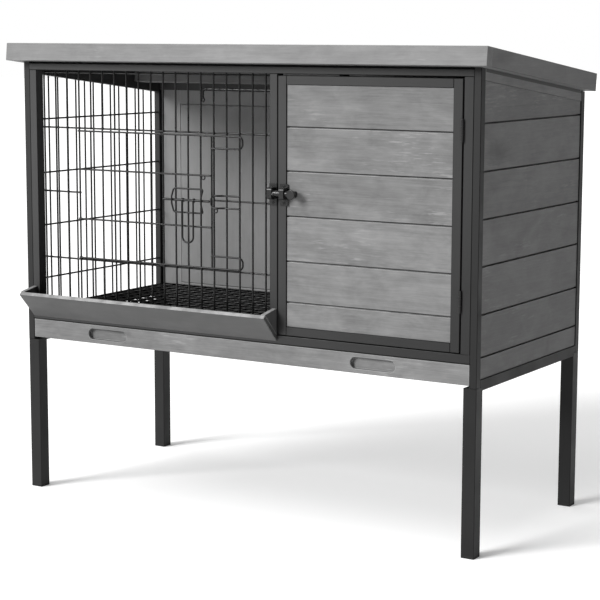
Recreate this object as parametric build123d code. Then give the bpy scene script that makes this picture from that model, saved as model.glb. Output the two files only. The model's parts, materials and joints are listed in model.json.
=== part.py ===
from build123d import *
import math
import os

# Rabbit hutch on four legs: a wire run on the left, a boarded nest on the right, a pull-out tray
# below and a sloping hinged roof.
# Millimetres. X to the right seen from the front, Y to the rear, Z up, feet on Z = 0.

# ---- driving dimensions -------------------------------------------------------------------
# overall
BODY_WIDTH = 860.0            # across the outer faces of the legs
BODY_DEPTH = 388.0            # front leg faces to rear leg faces
RUNNING = 0.05                # radial clearance of a pin that turns

# legs and frame
LEG_SIZE = 22.0               # square steel tube
LEG_TOP = 262.0
TUBE_WALL = 1.5
PLUG_FLANGE = 4.0             # the part of a foot plug below its tube
POST_X = 12.0                 # corner posts above the legs
POST_Y = 14.0
SIDE_RAIL = 14.0              # thickness of the lower side rails
RAIL_BOTTOM = 257.0           # lower side and rear rails
RAIL_TOP = 274.2
FRAME_DEPTH = 18.0            # depth of the front frame
FRONT_RAIL_BOTTOM = 299.0
FRONT_RAIL_TOP = 312.5
TOP_RAIL_BOTTOM = 725.0
REBATE_Z = 735.6              # step in the face of the front top rail, under the roof's overhang
REBATE_DEPTH = 8.0
REAR_RAIL_BOTTOM = 682.0
LEFT_STILE_IN = -403.5
CENTRE_STILE = (65.0, 79.0)
RIGHT_STILE_IN = 402.3

# roof
ROOF_WIDTH = 898.0
ROOF_SLOPE = 6.42             # degrees, falling to the rear
ROOF_OVERHANG = 24.1          # in front of the front frame
ROOF_FRONT_Z = 741.0          # lower front edge of the roof
FASCIA_HEIGHT = 29.0
FASCIA_THICK = 18.0
ROOF_PANEL_BOTTOM = 17.0      # above the fascias' lower edges
ROOF_PANEL_THICK = 9.0
BATTEN_X = 416.0              # half the length of a batten
BATTEN_Y = [50.0, 320.0]      # from the roof's front edge
BATTEN_WIDTH = 18.0
BATTEN_BOTTOM = -6.0
FRAME_TOP = ROOF_PANEL_BOTTOM - 0.6      # tops of the frame, above the fascias' lower edges
REAR_TOP = -0.6
SIDE_RAIL_BOTTOM = -18.0

# walls and floors
BOARD_THICK = 10.0
BOARD_INSET = 1.5             # face of the right wall behind the faces of its posts
SEAM = 2.4                    # gap between the faces of two boards
TONGUE = 3.0                  # thickness of the tongue that closes each gap
TONGUE_REACH = 5.0            # how far it stands up into the next board
SIDE_SEAMS = [307.5, 372.0, 444.4, 514.7, 585.8, 656.8]
BACK_STILE_IN = 375.8
BACK_TOP_BOARD = 656.0
BACK_BOTTOM_BOARD = 320.0
BACK_GAP = 0.8                # joint round the panel of the back wall
BACK_SHEET = 3.0              # thickness of the sheet behind it
BACK_INSET = 7.0              # inner face of the back wall in front of the rear leg faces
PARTITION_X = (66.0, 78.0)
PARTITION_TOP = 690.0
PARTITION_INSET = 38.0        # room in front of the partition for the roof prop to swing past
DOORWAY_Y = 20.0
DOORWAY_HEIGHT = 240.0
FLOOR_Z = 316.0
BEARER_X = 404.4
BEARER_HEIGHT = 12.0
RUN_FLOOR_X = (-416.0, 64.5)
NEST_FLOOR_X = (80.0, 416.0)
FLOOR_CELL = 24.0

# wire mesh
WIRE = 3.0                    # wire diameter
WIRE_PITCH = 24.9
WELD_STEP = 2.2               # centre distance of two crossing wires, which are welded together
FIRST_WIRE_X = -402.6
N_UPRIGHTS = 19
MESH_LEFT = -411.0
MESH_RIGHT = 72.0
WIRE_TOP = 721.2              # levels of the cross wires in front
UPPER_WIRE = 627.8
MIDDLE_WIRE = 519.0
LOWER_WIRE = 405.0
LEFT_CROSSES = [276.8, 364.6, 457.0, 547.8, 640.1]

# feeding trough
TROUGH_OUT = 39.0             # how far it stands out in front
TROUGH_X = (-417.0, 78.0)
TROUGH_BOTTOM = 303.0
TROUGH_LIP = 344.0
TROUGH_BACK = 355.5
TROUGH_THICK = 7.0
TROUGH_END = 8.0

# hinges
HINGE_KNUCKLE = 2.6           # radius of a roof hinge's knuckle
HINGE_LEAF = 1.2
PIN_RADIUS = 1.2
ROOF_HINGE_X = [-300.0, 300.0]
DOOR_KNUCKLE = 2.2
DOOR_LEAF = 0.8
DOOR_HINGE_X = 401.3
DOOR_HINGE_Z = [392.0, 646.0]

# solid door and its bolt
DOOR_LEFT = 80.3
DOOR_RIGHT = 400.3
DOOR_BOTTOM = 314.0
DOOR_TOP = 722.0
DOOR_THICK = 16.0
DOOR_STILE = 15.5
DOOR_RAIL = 14.0
DOOR_SEAMS = [367.0, 432.0, 503.0, 573.7, 642.5]
DOOR_BOLT_Z = 538.9
DOOR_BOLT_R = 5.0
BOLT_PLATE_Z = (519.2, 553.7)
STAPLE_HEIGHT = 18.4
STAPLE_WALL = 1.8
DOOR_BOLT_X = (77.5, 117.5)
KEEPER_X = (68.0, 76.5)
GUIDE_STAPLE_X = (90.5, 98.5)
KNOB_X = 114.8
KNOB_R = 8.2
KNOB_THICK = 5.0

# drawer
DRAWER_BOTTOM = 266.0
DRAWER_TOP = 297.5
DRAWER_THICK = 13.0
TRAY_X = 396.0
SLOT_X = [-260.0, 252.0]      # centres of the finger slots
SLOT_SIZE = (80.0, 18.0)
SLOT_DEPTH = 8.0

# wire door, its bolt and handle
HINGE_WIRE = 3                # counted from the left: the upright that the wire door turns on
LATCH_WIRE = 14               # the upright beside the door's free edge
WIRE_DOOR_BOTTOM = 408.6
WIRE_DOOR_TOP = 623.4
CROSS_LEVELS = [475.0, 559.0]
SLEEVE_R = 2.7
SLEEVE_HEIGHT = 2.4
HAIRPIN_END = 3.7
HAIRPIN_GAP = 20.0
BOLT_ROD_R = 2.0
BOLT_ROD_Z = 517.6
BOLT_ROD_X = (-150.0, -59.0)
KEEPER_WIRE = 3.0             # hairpin that the bolt rod slides behind
GUIDE_WIRE = 2.8              # loop that holds the bolt rod
GUIDE_X = (-131.0, -73.0)
HANDLE_WIRE = 3.0
HANDLE_X = (-111.0, -89.5)
HANDLE_DROP = 69.0
EYE_R = 3.4                   # eyes of the handle that hangs from the bolt rod

# roof prop
ROD_X = 180.0                 # its pivot
ROD_Z = 697.5
ROD_R = 2.0
ROD_REACH = 262.0
CLIP_X = (49.0, 60.0)

# ---- places worked out from them ----------------------------------------------------------
X_SIDE = BODY_WIDTH / 2
POST_IN = X_SIDE - POST_X
BOARD_OUT = X_SIDE - BOARD_INSET
Y_FRONT = TROUGH_OUT - (TROUGH_OUT + BODY_DEPTH + 2 * HINGE_KNUCKLE) / 2
Y_REAR = Y_FRONT + BODY_DEPTH
Y_ROOF = Y_FRONT - ROOF_OVERHANG
SLOPE = math.radians(ROOF_SLOPE)
ROOF_LENGTH = (Y_REAR - Y_ROOF) / math.cos(SLOPE)

BACK_FACE = Y_REAR - BACK_INSET
PARTITION_FRONT = Y_FRONT + PARTITION_INSET
FLOOR_FRONT = Y_FRONT + FRAME_DEPTH + 6
FLOOR_BACK = BACK_FACE - 1
BEARER_TOP = FLOOR_Z - 2
DRAWER_X = POST_IN - 0.6
TRAY_BACK = Y_REAR - 30

ROOF_HINGE_Y = Y_REAR + HINGE_KNUCKLE
ROOF_HINGE_Z = ROOF_FRONT_Z - (Y_REAR - Y_ROOF) * math.tan(SLOPE) - 0.6
DOOR_HINGE_Y = Y_FRONT - 2.4
DOOR_BOLT_Y = Y_FRONT - 7.0
BOLT_HOLE = DOOR_BOLT_R + 0.3
STAPLE_FACE = DOOR_BOLT_Y - BOLT_HOLE - STAPLE_WALL

LEFT_MESH_X = -X_SIDE + 6
Y_PANEL = Y_FRONT + FRAME_DEPTH + WIRE / 2   # upright wires of the front mesh
Y_DOOR_BARS = Y_PANEL - 1.2
Y_DOOR_CROSS = Y_DOOR_BARS - WELD_STEP
HINGE_X = FIRST_WIRE_X + HINGE_WIRE * WIRE_PITCH
WIRE_DOOR_RIGHT = FIRST_WIRE_X + LATCH_WIRE * WIRE_PITCH - 3.6
BOLT_ROD_Y = Y_DOOR_BARS - WIRE / 2 - EYE_R - 0.3
GUIDE_Y = BOLT_ROD_Y - BOLT_ROD_R - 0.3 - GUIDE_WIRE / 2
ROD_Y = Y_FRONT + 30.0


# ---- helpers ------------------------------------------------------------------------------
def block(x, y, z):
    """A box from three (low, high) pairs."""
    size = [b - a for a, b in (x, y, z)]
    centre = [(a + b) / 2 for a, b in (x, y, z)]
    return Pos(*centre) * Box(*size)


def side_prism(points, x):
    """An outline in Y and Z, carried along X between two values."""
    face = Plane.YZ * Polygon(*points, align=None)
    return Pos(x[0], 0, 0) * extrude(face, x[1] - x[0], dir=(1, 0, 0))


def roof_z(y, height):
    """The level at y of the plane that lies this high above the roof's lower face."""
    return ROOF_FRONT_Z - (y - Y_ROOF) * math.tan(SLOPE) + height / math.cos(SLOPE)


def on_roof(shape):
    """From the flat roof, with its front lower edge on the origin, to its place."""
    return Pos(0, Y_ROOF, ROOF_FRONT_Z) * Rot(X=-ROOF_SLOPE) * shape


def rod_x(x, y, z, r):
    return Pos((x[0] + x[1]) / 2, y, z) * Rot(Y=90) * Cylinder(r, x[1] - x[0])


def rod_y(x, y, z, r):
    return Pos(x, (y[0] + y[1]) / 2, z) * Rot(X=90) * Cylinder(r, y[1] - y[0])


def rod_z(x, y, z, r):
    return Pos(x, y, (z[0] + z[1]) / 2) * Cylinder(r, z[1] - z[0])


def joined(shapes):
    """One solid from shapes that run into each other."""
    shapes = list(shapes)
    return shapes[0].fuse(*shapes[1:])


def bent_wire(points, r, bend, close=False):
    """A wire along these points, with every corner bent to one radius."""
    path = FilletPolyline(*points, radius=bend, close=close)
    section = Plane(origin=path @ 0, z_dir=path % 0) * Circle(r)
    return sweep(section, path=path)


def save(name, shapes):
    """Writes one sub-part, from one solid or a list of separate ones."""
    if isinstance(shapes, list):
        shapes = Compound(children=shapes)
    shapes.label = name
    export_step(shapes, f"parts/{name}.step")


# ---- legs, posts and frame ----------------------------------------------------------------
def leg(sx, front):
    x = sx * (X_SIDE - LEG_SIZE / 2)
    y = Y_FRONT + LEG_SIZE / 2 if front else Y_REAR - LEG_SIZE / 2
    height = LEG_TOP - PLUG_FLANGE
    tube = Pos(x, y, PLUG_FLANGE + height / 2) * Box(LEG_SIZE, LEG_SIZE, height)
    tube = fillet(tube.edges().filter_by(Axis.Z), 1.2)
    bore = LEG_SIZE - 2 * TUBE_WALL
    hollow = Pos(x, y, PLUG_FLANGE + (height - TUBE_WALL) / 2) * Box(bore, bore, height - TUBE_WALL)
    return tube - hollow


def foot_plug(sx, front):
    """A moulded plug in the lower end of a leg: a flange on the ground and a stem in the tube."""
    x = sx * (X_SIDE - LEG_SIZE / 2)
    y = Y_FRONT + LEG_SIZE / 2 if front else Y_REAR - LEG_SIZE / 2
    flange = Pos(x, y, PLUG_FLANGE / 2) * Box(LEG_SIZE, LEG_SIZE, PLUG_FLANGE)
    flange = fillet(flange.edges().filter_by(Axis.Z), 1.2)
    stem_size = LEG_SIZE - 2 * TUBE_WALL - 0.2
    stem = Pos(x, y, PLUG_FLANGE + 7) * Box(stem_size, stem_size, 14)
    return flange + stem


def cut_to_roof(x, y, low, top):
    """A level-bottomed piece whose top follows the slope of the roof."""
    outline = [(y[0], low), (y[1], low), (y[1], roof_z(y[1], top)), (y[0], roof_z(y[0], top))]
    return side_prism(outline, x)


def post(sx, front):
    x = sorted((sx * X_SIDE, sx * POST_IN))
    y = (Y_FRONT, Y_FRONT + POST_Y) if front else (Y_REAR - POST_Y, Y_REAR)
    top = FRAME_TOP if front else REAR_TOP
    return cut_to_roof(x, y, LEG_TOP, top)


def front_member(x, z):
    return block(x, (Y_FRONT, Y_FRONT + FRAME_DEPTH), z)


def front_top_rail():
    """The rail over the run and the nest, rebated where the roof's front overhangs it."""
    y = (Y_FRONT, Y_FRONT + FRAME_DEPTH)
    rail = cut_to_roof((-POST_IN, POST_IN), y, TOP_RAIL_BOTTOM, FRAME_TOP)
    return rail - block((-POST_IN, POST_IN), (y[0], y[0] + REBATE_DEPTH), (REBATE_Z, REBATE_Z + 40))


def rear_top_rail():
    return cut_to_roof((-POST_IN, POST_IN), (Y_REAR - POST_Y, Y_REAR), REAR_RAIL_BOTTOM, REAR_TOP)


def side_top_rail(sx):
    """A sloping rail under the roof, stepped down at its rear end to pass under the rear fascia."""
    y0, y1, y2 = Y_FRONT + POST_Y, Y_REAR - FASCIA_THICK - 2, Y_REAR - POST_Y
    corners = [(y0, SIDE_RAIL_BOTTOM), (y2, SIDE_RAIL_BOTTOM), (y2, REAR_TOP)]
    corners += [(y1, REAR_TOP), (y1, FRAME_TOP), (y0, FRAME_TOP)]
    outline = [(y, roof_z(y, height)) for y, height in corners]
    return side_prism(outline, sorted((sx * X_SIDE, sx * POST_IN)))


def bottom_rail_side(sx):
    """Notched over the legs at both ends."""
    x = sorted((sx * X_SIDE, sx * (X_SIDE - SIDE_RAIL)))
    upper = block(x, (Y_FRONT + POST_Y, Y_REAR - POST_Y), (LEG_TOP, RAIL_TOP))
    lower = block(x, (Y_FRONT + LEG_SIZE, Y_REAR - LEG_SIZE), (RAIL_BOTTOM, LEG_TOP))
    return upper + lower


def rear_bottom_rail():
    y = (Y_REAR - POST_Y, Y_REAR)
    upper = block((-POST_IN, POST_IN), y, (LEG_TOP, RAIL_TOP))
    inner = X_SIDE - LEG_SIZE
    return upper + block((-inner, inner), y, (RAIL_BOTTOM, LEG_TOP))


# ---- walls and floors ---------------------------------------------------------------------
def tongues(x, y, level):
    """The tongue at a seam, and the slightly larger groove that it stands in."""
    if x[1] - x[0] < y[1] - y[0]:
        middle = (x[0] + x[1]) / 2
        across = (middle - TONGUE / 2, middle + TONGUE / 2), y
        wider = (middle - TONGUE / 2 - 0.2, middle + TONGUE / 2 + 0.2), y
    else:
        middle = (y[0] + y[1]) / 2
        across = x, (middle - TONGUE / 2, middle + TONGUE / 2)
        wider = x, (middle - TONGUE / 2 - 0.2, middle + TONGUE / 2 + 0.2)
    tongue = block(*across, (level - SEAM, level + TONGUE_REACH))
    groove = block(*wider, (level, level + TONGUE_REACH + 0.4))
    return tongue, groove


def boarding(x, y, levels, top_board):
    """Boards one above another, each with a tongue in the one above it."""
    boards = [block(x, y, (a + SEAM / 2, b - SEAM / 2)) for a, b in zip(levels, levels[1:])]
    boards.append(top_board)
    for i, level in enumerate(levels[1:]):
        tongue, groove = tongues(x, y, level)
        boards[i] = boards[i] + tongue
        boards[i + 1] = boards[i + 1] - groove
    return boards


def right_wall_boards():
    """Level boards between the right-hand posts. The top one is cut to the slope of the rail."""
    x = (BOARD_OUT - BOARD_THICK, BOARD_OUT)
    y = (Y_FRONT + POST_Y, Y_REAR - POST_Y)
    top = cut_to_roof(x, y, SIDE_SEAMS[-1] + SEAM / 2, SIDE_RAIL_BOTTOM)
    return boarding(x, y, [RAIL_TOP - SEAM / 2] + SIDE_SEAMS, top)


def back_wall_frame():
    y = (BACK_FACE, Y_REAR - 1 - BACK_SHEET)
    left = block((-POST_IN, -BACK_STILE_IN), y, (RAIL_TOP, REAR_RAIL_BOTTOM))
    right = block((BACK_STILE_IN, POST_IN), y, (RAIL_TOP, REAR_RAIL_BOTTOM))
    top = block((-BACK_STILE_IN, BACK_STILE_IN), y, (BACK_TOP_BOARD, REAR_RAIL_BOTTOM))
    bottom = block((-BACK_STILE_IN, BACK_STILE_IN), y, (RAIL_TOP, BACK_BOTTOM_BOARD))
    return [left, right, top, bottom]


def back_wall_panel():
    """An inner panel in one piece with the outer sheet, which closes the whole back."""
    x = BACK_STILE_IN - BACK_GAP
    z = (BACK_BOTTOM_BOARD + BACK_GAP, BACK_TOP_BOARD - BACK_GAP)
    sheet_y = (Y_REAR - 1 - BACK_SHEET, Y_REAR - 1)
    inner = block((-x, x), (BACK_FACE + 0.5, sheet_y[0]), z)
    return inner + block((-POST_IN, POST_IN), sheet_y, (RAIL_TOP, REAR_RAIL_BOTTOM))


def partition():
    """A wall between run and nest, with a doorway along the back wall."""
    low = FLOOR_Z + DOORWAY_HEIGHT
    board = block(PARTITION_X, (PARTITION_FRONT, DOORWAY_Y), (BEARER_TOP, PARTITION_TOP))
    header = block(PARTITION_X, (DOORWAY_Y, Y_REAR - POST_Y), (low, PARTITION_TOP))
    under_rail = block(PARTITION_X, (Y_REAR - POST_Y, BACK_FACE), (low, REAR_RAIL_BOTTOM))
    return [board, header + under_rail]


def wire_floor():
    """Square mesh that the run stands on, with droppings falling through to the tray."""
    width = RUN_FLOOR_X[1] - RUN_FLOOR_X[0]
    depth = FLOOR_BACK - FLOOR_FRONT
    n_x, n_y = round(width / FLOOR_CELL), round(depth / FLOOR_CELL)
    pitch_x, pitch_y = (width - WIRE) / n_x, (depth - WIRE) / n_y
    cell = Rectangle(pitch_x - WIRE, pitch_y - WIRE)
    grid = Rectangle(width, depth) - GridLocations(pitch_x, pitch_y, n_x, n_y) * cell
    centre = (sum(RUN_FLOOR_X) / 2, (FLOOR_FRONT + FLOOR_BACK) / 2, BEARER_TOP)
    return Pos(*centre) * extrude(grid, WIRE)


def nest_floor():
    return block(NEST_FLOOR_X, (FLOOR_FRONT, FLOOR_BACK), (BEARER_TOP, FLOOR_Z + 4))


def floor_bearers():
    z = (BEARER_TOP - BEARER_HEIGHT, BEARER_TOP)
    y = (Y_FRONT + FRAME_DEPTH, BACK_FACE)
    edges = [(-POST_IN, -BEARER_X), (62.0, 82.0), (BEARER_X, POST_IN)]
    return [block(x, y, z) for x in edges]


# ---- wire mesh ----------------------------------------------------------------------------
def upright_x(i):
    return FIRST_WIRE_X + i * WIRE_PITCH


def mesh(uprights, x, z, crosses):
    """Welded mesh: upright wires in front, cross wires against their backs."""
    wires = [rod_z(ux, Y_PANEL, z, WIRE / 2) for ux in uprights]
    wires += [rod_x(x, Y_PANEL + WELD_STEP, cz, WIRE / 2) for cz in crosses]
    return joined(wires)


def mesh_panel_top():
    all_uprights = [upright_x(i) for i in range(N_UPRIGHTS)]
    z = (UPPER_WIRE - WIRE / 2, TOP_RAIL_BOTTOM + 4)
    return mesh(all_uprights, (MESH_LEFT, MESH_RIGHT), z, [UPPER_WIRE, WIRE_TOP])


def mesh_panel_bottom():
    all_uprights = [upright_x(i) for i in range(N_UPRIGHTS)]
    z = (FRONT_RAIL_BOTTOM + 5, LOWER_WIRE + WIRE / 2)
    return mesh(all_uprights, (MESH_LEFT, MESH_RIGHT), z, [LOWER_WIRE, FRONT_RAIL_TOP + 6])


def mesh_panel_sides():
    z = (LOWER_WIRE + WIRE / 2, UPPER_WIRE - WIRE / 2)
    left = [upright_x(i) for i in range(HINGE_WIRE + 1)]
    right = [upright_x(i) for i in range(LATCH_WIRE, N_UPRIGHTS)]
    return [
        mesh(left, (MESH_LEFT, left[-1]), z, [MIDDLE_WIRE]),
        mesh(right, (right[0], MESH_RIGHT), z, [MIDDLE_WIRE]),
    ]


def left_mesh_panel():
    y0, y1 = Y_FRONT + POST_Y, Y_REAR - POST_Y
    count = int((y1 - y0) // WIRE_PITCH)
    margin = ((y1 - y0) - (count - 1) * WIRE_PITCH) / 2
    wires = []
    for i in range(count):
        y = y0 + margin + i * WIRE_PITCH
        top = roof_z(y, SIDE_RAIL_BOTTOM) - 0.5
        wires.append(rod_z(LEFT_MESH_X, y, (RAIL_TOP, top), WIRE / 2))
    for z in LEFT_CROSSES:
        wires.append(rod_y(LEFT_MESH_X + WELD_STEP, (y0, y1), z, WIRE / 2))
    return joined(wires)


def wire_latch_keeper():
    """A hairpin on the fixed mesh. The bolt rod slides in behind its bend."""
    r = KEEPER_WIRE / 2
    foot_y = Y_PANEL - WIRE / 2 - r + 0.1
    bend_y = BOLT_ROD_Y - BOLT_ROD_R - 0.3 - r
    bend_x, foot_x, root_x = -53.0, -32.0, -2.0
    half = [(root_x, foot_y), (foot_x, foot_y), (bend_x + 11, bend_y), (bend_x, bend_y)]
    points = [(x, y, BOLT_ROD_Z + 10) for x, y in half]
    points += [(x, y, BOLT_ROD_Z - 10) for x, y in reversed(half)]
    curl = Pos(-43.6, bend_y, BOLT_ROD_Z - 14.2) * Rot(X=90) * Torus(3.0, 1.0)
    return bent_wire(points, r, [3, 3, 8, 8, 3, 3]) + curl


# ---- feeding trough -----------------------------------------------------------------------
def trough_outline():
    """The slanted board's outline and the inside corner points that the end pieces share."""
    rise, out = TROUGH_LIP - TROUGH_BOTTOM, TROUGH_OUT
    length = math.hypot(rise, out)
    in_y, in_z = TROUGH_THICK * rise / length, TROUGH_THICK * out / length
    lip = (Y_FRONT - out, TROUGH_LIP)
    inner_lip = (lip[0] + in_y, lip[1] + in_z)
    inner_foot = (Y_FRONT, TROUGH_BOTTOM + TROUGH_THICK * length / out)
    board = [(Y_FRONT, TROUGH_BOTTOM), lip, inner_lip, inner_foot]
    return board, inner_lip, inner_foot


def trough_front_board():
    return side_prism(trough_outline()[0], TROUGH_X)


def trough_ends():
    _, lip, foot = trough_outline()
    outline = [foot, lip, (lip[0] + 0.5, lip[1] + 0.9), (Y_FRONT, TROUGH_BACK)]
    left = side_prism(outline, (TROUGH_X[0], TROUGH_X[0] + TROUGH_END))
    right = side_prism(outline, (TROUGH_X[1] - TROUGH_END, TROUGH_X[1]))
    return [left, right]


# ---- hinges -------------------------------------------------------------------------------
def roof_hinge_frame_leaf(x):
    """Leaf on the rear rail with the two outer knuckles and the pin."""
    thick = (Y_REAR, Y_REAR + HINGE_LEAF)
    leaf = block((x - 25, x + 25), thick, (REAR_RAIL_BOTTOM + 0.5, ROOF_HINGE_Z - 3))
    pin = rod_x((x - 25, x + 25), ROOF_HINGE_Y, ROOF_HINGE_Z, PIN_RADIUS)
    shapes = [leaf, pin]
    for end in ((x - 25, x - 9), (x + 9, x + 25)):
        shapes.append(rod_x(end, ROOF_HINGE_Y, ROOF_HINGE_Z, HINGE_KNUCKLE))
        shapes.append(block(end, thick, (ROOF_HINGE_Z - 3, ROOF_HINGE_Z)))
    return joined(shapes)


def roof_hinge_leaf(x):
    """Leaf on the roof's rear fascia with the middle knuckle."""
    plate = on_roof(block((x - 25, x + 25), (ROOF_LENGTH, ROOF_LENGTH + HINGE_LEAF), (3.0, 24.0)))
    neck = on_roof(block((x - 8.7, x + 8.7), (ROOF_LENGTH, ROOF_LENGTH + HINGE_LEAF), (0.2, 4.0)))
    knuckle = rod_x((x - 8.7, x + 8.7), ROOF_HINGE_Y, ROOF_HINGE_Z, HINGE_KNUCKLE)
    bore = rod_x((x - 30, x + 30), ROOF_HINGE_Y, ROOF_HINGE_Z, PIN_RADIUS + RUNNING)
    return joined([plate, neck, knuckle]) - bore


def door_hinge_frame_leaf(z):
    x = (RIGHT_STILE_IN - DOOR_LEAF, RIGHT_STILE_IN)
    leaf = block(x, (DOOR_HINGE_Y, Y_FRONT + 14), (z - 17, z + 17))
    gap = block((DOOR_HINGE_X - 3, RIGHT_STILE_IN), (DOOR_HINGE_Y - 3, Y_FRONT - 0.1), (z - 6, z + 6))
    ends = ((z - 17, z - 6), (z + 6, z + 17))
    outer = [rod_z(DOOR_HINGE_X, DOOR_HINGE_Y, e, DOOR_KNUCKLE) for e in ends]
    pin = rod_z(DOOR_HINGE_X, DOOR_HINGE_Y, (z - 17, z + 17), PIN_RADIUS)
    return joined([leaf - gap, pin] + outer)


def door_hinge_leaf(z):
    x = (DOOR_RIGHT, DOOR_RIGHT + DOOR_LEAF)
    leaf = block(x, (Y_FRONT + 0.2, Y_FRONT + 14), (z - 17, z + 17))
    neck = block(x, (DOOR_HINGE_Y, Y_FRONT + 1), (z - 5.8, z + 5.8))
    knuckle = rod_z(DOOR_HINGE_X, DOOR_HINGE_Y, (z - 5.8, z + 5.8), DOOR_KNUCKLE)
    bore = rod_z(DOOR_HINGE_X, DOOR_HINGE_Y, (z - 20, z + 20), PIN_RADIUS + RUNNING)
    return joined([leaf, neck, knuckle]) - bore


# ---- solid door and its bolt --------------------------------------------------------------
def door_y():
    return (Y_FRONT, Y_FRONT + DOOR_THICK)


def door_stiles():
    z = (DOOR_BOTTOM, DOOR_TOP)
    left = block((DOOR_LEFT, DOOR_LEFT + DOOR_STILE), door_y(), z)
    right = block((DOOR_RIGHT - DOOR_STILE, DOOR_RIGHT), door_y(), z)
    return [left, right]


def door_rails():
    x = (DOOR_LEFT + DOOR_STILE, DOOR_RIGHT - DOOR_STILE)
    low = block(x, door_y(), (DOOR_BOTTOM, DOOR_BOTTOM + DOOR_RAIL))
    top = block(x, door_y(), (DOOR_TOP - DOOR_RAIL, DOOR_TOP))
    return [low, top]


def door_boards():
    x = (DOOR_LEFT + DOOR_STILE, DOOR_RIGHT - DOOR_STILE)
    y = (Y_FRONT + 2.0, Y_FRONT + 12.0)
    top = block(x, y, (DOOR_SEAMS[-1] + SEAM / 2, DOOR_TOP - DOOR_RAIL))
    return boarding(x, y, [DOOR_BOTTOM + DOOR_RAIL - SEAM / 2] + DOOR_SEAMS, top)


def staple(x, plate_x):
    """A plate on the front face with a raised guide that the bolt slides in."""
    plate = block(plate_x, (Y_FRONT - 1.2, Y_FRONT), BOLT_PLATE_Z)
    half = STAPLE_HEIGHT / 2
    guide = block(x, (STAPLE_FACE, Y_FRONT - 1.2), (DOOR_BOLT_Z - half, DOOR_BOLT_Z + half))
    guide = fillet(guide.edges().filter_by(Axis.X).sort_by(Axis.Y)[:2], 4.0)
    hole = rod_x((x[0] - 1, x[1] + 1), DOOR_BOLT_Y, DOOR_BOLT_Z, BOLT_HOLE)
    return plate + guide - hole


def door_bolt():
    """Round bolt with a tapered knob, drawn clear of the keeper."""
    bar = rod_x(DOOR_BOLT_X, DOOR_BOLT_Y, DOOR_BOLT_Z, DOOR_BOLT_R)
    knob_y = STAPLE_FACE - 0.5 - KNOB_THICK / 2
    stem = rod_y(KNOB_X, (knob_y, DOOR_BOLT_Y), DOOR_BOLT_Z, 3.5)
    knob = Pos(KNOB_X, knob_y, DOOR_BOLT_Z) * Rot(X=90) * Cone(KNOB_R - 1.5, KNOB_R, KNOB_THICK)
    knob = fillet(knob.edges().filter_by(GeomType.CIRCLE), 1.2)
    return joined([bar, stem, knob])


# ---- drawer -------------------------------------------------------------------------------
def drawer_front():
    y = (Y_FRONT + 0.8, Y_FRONT + 0.8 + DRAWER_THICK)
    z_mid = (DRAWER_BOTTOM + DRAWER_TOP) / 2
    board = block((-DRAWER_X, DRAWER_X), y, (DRAWER_BOTTOM, DRAWER_TOP))
    for x in SLOT_X:
        outline = Plane.XZ * Pos(x, z_mid) * SlotOverall(*SLOT_SIZE)
        pocket = Pos(0, y[0] + SLOT_DEPTH, 0) * extrude(outline, SLOT_DEPTH + 1)
        board = board - pocket
    return board


def drawer_walls():
    y = (Y_FRONT + 0.8 + DRAWER_THICK, TRAY_BACK)
    z = (270.0, 293.0)
    left = block((-TRAY_X, -TRAY_X + 8), y, z)
    right = block((TRAY_X - 8, TRAY_X), y, z)
    back = block((-TRAY_X + 8, TRAY_X - 8), (TRAY_BACK - 8, TRAY_BACK), z)
    return [left, right, back]


def drawer_base():
    return block((-TRAY_X, TRAY_X), (Y_FRONT + 0.8 + DRAWER_THICK, TRAY_BACK), (267.0, 270.0))


def drawer_runner(sx):
    """An angle along each side rail that the tray slides on."""
    y = (Y_FRONT + LEG_SIZE, Y_REAR - LEG_SIZE)
    inner = X_SIDE - SIDE_RAIL
    foot = block(sorted((sx * inner, sx * (TRAY_X - 10))), y, (264.4, 266.6))
    wall = block(sorted((sx * inner, sx * (inner - 2.2))), y, (266.6, RAIL_TOP))
    return foot + wall


# ---- wire door, its bolt and handle -------------------------------------------------------
def hairpin(z_outer, z_inner, start_x, end_x):
    """A cross wire that runs on past the door's edge, turns back and ends on the edge wire."""
    corners = [(start_x, z_outer), (HAIRPIN_END, z_outer), (HAIRPIN_END, z_inner), (end_x, z_inner)]
    return bent_wire([(x, Y_DOOR_CROSS, z) for x, z in corners], WIRE / 2, 8.5)


def wire_door_grille():
    """The door's wires. Each cross wire ends in a short sleeve round the hinge wire."""
    uprights = [upright_x(i) for i in range(HINGE_WIRE + 1, LATCH_WIRE)]
    z = (WIRE_DOOR_BOTTOM, WIRE_DOOR_TOP)
    wires = [rod_z(x, Y_DOOR_BARS, z, WIRE / 2) for x in uprights + [WIRE_DOOR_RIGHT]]
    wires.append(hairpin(z[1], z[1] - HAIRPIN_GAP, HINGE_X, WIRE_DOOR_RIGHT))
    wires.append(hairpin(z[0], z[0] + HAIRPIN_GAP, HINGE_X, WIRE_DOOR_RIGHT))
    for level in CROSS_LEVELS:
        wires.append(rod_x((HINGE_X, WIRE_DOOR_RIGHT), Y_DOOR_CROSS, level, WIRE / 2))
    for level in [z[0]] + CROSS_LEVELS + [z[1]]:
        wires.append(rod_z(HINGE_X, Y_PANEL, (level - SLEEVE_HEIGHT / 2, level + SLEEVE_HEIGHT / 2), SLEEVE_R))
    curl = Pos(-72.6, Y_DOOR_CROSS, CROSS_LEVELS[1] - 3.6) * Rot(X=90) * Torus(3.2, 1.0)
    wires.append(curl)
    bore = rod_z(HINGE_X, Y_PANEL, (z[0] - 20, z[1] + 20), WIRE / 2 + RUNNING)
    return joined(wires) - bore


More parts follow.
